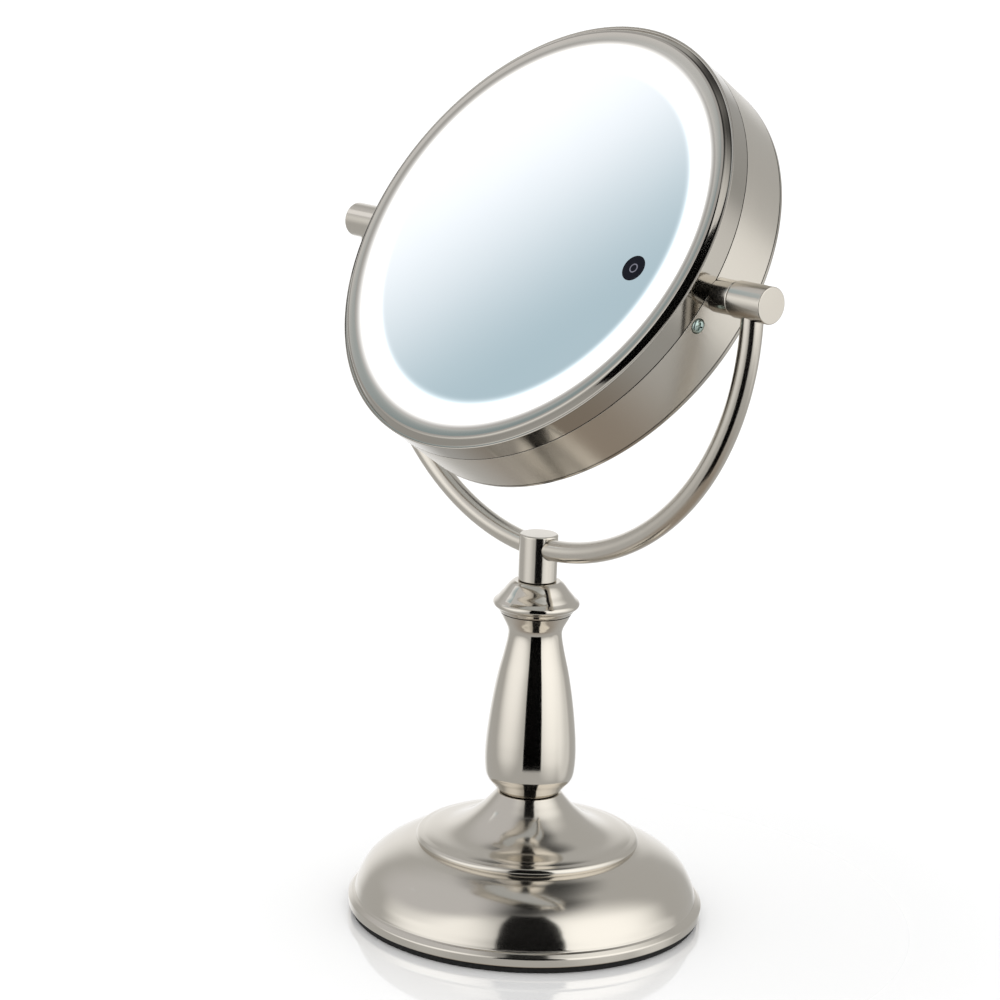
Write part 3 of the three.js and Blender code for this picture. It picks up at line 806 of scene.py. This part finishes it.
def make_floor():
    """Pale floor, glossy close to the object. The metal does not reflect it, but the room below instead."""
    bm = bmesh.new()
    bmesh.ops.create_circle(bm, cap_ends=True, radius=FLOOR_R, segments=128)
    mesh = bpy.data.meshes.new("floor")
    bm.to_mesh(mesh)
    bm.free()
    floor = bpy.data.objects.new("floor", mesh)
    bpy.context.scene.collection.objects.link(floor)
    n = Nodes("pale floor")
    away = axis_distance(n)
    mesh.materials.append(n.set(
        Base_Color=(0.93, 0.93, 0.93),
        Specular_IOR_Level=0.4,
        Roughness=n.ramp(away, 0.12, 0.3, 0.1, 0.9),
        Coat_Weight=n.ramp(away, 0.14, 0.34, 1.0, 0.0),
        Coat_Roughness=0.04,
        Coat_IOR=1.7,
    ))
    floor.visible_glossy = False


def reflected(name, bm, level):
    """A studio surface that shows in reflections only, so it is in no view and casts no shadow."""
    mesh = bpy.data.meshes.new(name)
    bm.to_mesh(mesh)
    bm.free()
    card = bpy.data.objects.new(name, mesh)
    bpy.context.scene.collection.objects.link(card)
    n = Nodes(name)
    n.shader.inputs["Emission Strength"].default_value = level
    n.shader.inputs["Emission Color"].default_value = (1.0, 1.0, 1.0, 1.0)
    n.material.cycles.emission_sampling = "NONE"
    mesh.materials.append(n.set(Base_Color=(0.0, 0.0, 0.0), Roughness=1.0, Specular_IOR_Level=0.0))
    card.visible_camera = False
    card.visible_diffuse = False
    card.visible_shadow = False
    return card


def make_card(name, way, reach, size, shades):
    """Honeycombed card facing the head, seen only straight on. Its shade changes from corner to corner."""
    across = Vector((1, 0, 0)) - way * way.x
    across.normalize()
    up = way.cross(across)
    bm = bmesh.new()
    half = size / 2
    bm.faces.new([bm.verts.new(across * x + up * y) for x, y in ((-half, -half), (half, -half), (half, half),
                                                                 (-half, half))])
    card = reflected(name, bm, 1.0)
    card.location = Vector((0, 0, TILT_Z * MM)) + way * reach
    n = Nodes.of(card.data.materials[0])
    slant = n.add("ShaderNodeVectorMath", operation="DOT_PRODUCT")
    n.link(n.place(), slant.inputs[0])
    slant.inputs[1].default_value = (across - up).normalized()
    (start, pale), (end, deep) = shades
    n.set(Emission_Color=n.mix(n.ramp(slant.outputs["Value"], start, end), pale, deep))
    weight = n.add("ShaderNodeLayerWeight")
    weight.inputs["Blend"].default_value = 0.5
    through = n.add("ShaderNodeBsdfTransparent")
    honeycomb = n.add("ShaderNodeMixShader")
    n.link(n.ramp(weight.outputs["Facing"], 0.012, 0.026), honeycomb.inputs[0])
    n.link(n.shader.outputs[0], honeycomb.inputs[1])
    n.link(through.outputs[0], honeycomb.inputs[2])
    n.link(honeycomb.outputs[0], n.tree.nodes["Material Output"].inputs["Surface"])


def make_panel(name, start, end, top, level):
    """Curved panel between two turns in degrees from the camera's side, with its foot on the table."""
    bm = bmesh.new()
    steps = math.ceil((end - start) / 5)
    columns = []
    for i in range(steps + 1):
        a = math.radians(start + (end - start) * i / steps)
        way = TOWARDS_CAMERA * math.cos(a) + CAMERA_RIGHT * math.sin(a)
        columns.append([bm.verts.new(way * reach + Vector((0, 0, z)))
                        for reach, z in ((PANEL_NEAR, TABLE_Z), (PANEL_FAR, TABLE_Z), (PANEL_FAR, top))])
    for one, two in zip(columns, columns[1:]):
        for k in range(2):
            bm.faces.new((one[k], two[k], two[k + 1], one[k + 1]))
    reflected(name, bm, level)


def make_world():
    """White backdrop and even light; the metal and the glass reflect a grey room with soft lights in it."""
    world = bpy.data.worlds.new("studio")
    bpy.context.scene.world = world
    world.use_nodes = True
    tree = world.node_tree
    tree.nodes.clear()

    def add(kind):
        return tree.nodes.new(kind)

    def near(way, inner, outer):
        """1 within the inner angle of a direction, falling to 0 at the outer one."""
        dot = add("ShaderNodeVectorMath")
        dot.operation = "DOT_PRODUCT"
        tree.links.new(look.outputs["Generated"], dot.inputs[0])
        dot.inputs[1].default_value = way
        fall = add("ShaderNodeMapRange")
        fall.interpolation_type = "SMOOTHSTEP"
        fall.inputs["From Min"].default_value = math.cos(math.radians(outer))
        fall.inputs["From Max"].default_value = math.cos(math.radians(inner))
        tree.links.new(dot.outputs["Value"], fall.inputs["Value"])
        return fall.outputs["Result"]

    def mix(factor, low, high):
        node = add("ShaderNodeMix")
        node.data_type = "RGBA"
        tree.links.new(factor, node.inputs["Factor"])
        for socket, colour in ((node.inputs[6], low), (node.inputs[7], high)):
            if isinstance(colour, tuple):
                socket.default_value = (*colour, 1)
            else:
                tree.links.new(colour, socket)
        return node.outputs[2]

    look = add("ShaderNodeTexCoord")
    colour = ROOM
    for turn, lift, inner, outer, glow in SOFTBOXES:
        colour = mix(near(toward(turn, lift), inner, outer), colour, glow)
    path = add("ShaderNodeLightPath")
    out = add("ShaderNodeOutputWorld")
    plain = add("ShaderNodeBackground")
    plain.inputs["Color"].default_value = (1, 1, 1, 1)
    plain.inputs["Strength"].default_value = BACKDROP
    room = add("ShaderNodeBackground")
    tree.links.new(colour, room.inputs["Color"])
    either = add("ShaderNodeMixShader")
    tree.links.new(path.outputs["Is Glossy Ray"], either.inputs[0])
    tree.links.new(plain.outputs[0], either.inputs[1])
    tree.links.new(room.outputs[0], either.inputs[2])
    tree.links.new(either.outputs[0], out.inputs[0])


def toward(turn, lift):
    """Direction at a turn and a lift in degrees, measured from the camera's side of the object."""
    a, e = math.radians(turn), math.radians(lift)
    flat = TOWARDS_CAMERA * math.cos(a) + CAMERA_RIGHT * math.sin(a)
    return flat * math.cos(e) + Vector((0, 0, math.sin(e)))


PANEL_NEAR = 0.2
PANEL_FAR = 1.0
TABLE_Z = -0.001
BACKDROP = 1.22
ROOM = (0.54, 0.54, 0.53)
# The reflected room's soft lights: turn and lift, where the fade starts and ends, all in degrees; colour.
SOFTBOXES = (
    (0, 90, 9, 31, (0.04, 0.04, 0.04)),
    (0, -90, 8, 50, (0.36, 0.31, 0.26)),
    (-172, -3, 14, 38, (1.05, 1.05, 1.05)),
    (96, -10, 12, 26, (0.85, 0.85, 0.84)),
    (56, 22, 2, 59, (1.47, 1.47, 1.45)),
    (-62, 20, 2, 51, (1.31, 1.31, 1.30)),
    (-102, 50, 18, 43, (0.67, 0.67, 0.68)),
    (177, 61, 2, 20, (0.05, 0.05, 0.05)),
)
CARD_WAY = (-109.8, 34.1)  # turn and lift, in degrees, of what the front mirror reflects
# The card there: distance along its slant in metres, and the shade.
CARD = ((-0.045, (1.10, 1.10, 1.12)), (0.07, (0.455, 0.565, 0.61)))


def make_studio():
    bpy.context.scene.view_settings.view_transform = "Standard"
    make_world()
    make_floor()
    make_panel("dark panel", -17, 27, 2.6, 0.0)
    make_card("pale card", toward(*CARD_WAY), 0.32, 0.26, CARD)


def build():
    looks = make_materials()
    make_base(looks)
    make_column(looks)
    make_yoke(looks)
    make_barrels(looks)
    make_housing(looks)
    make_front(looks)
    make_rear(looks)
    make_head_pivots(looks)
    make_lock_screw(looks)
    dress_hidden_nodes(looks)


make_camera()
make_studio()
build()
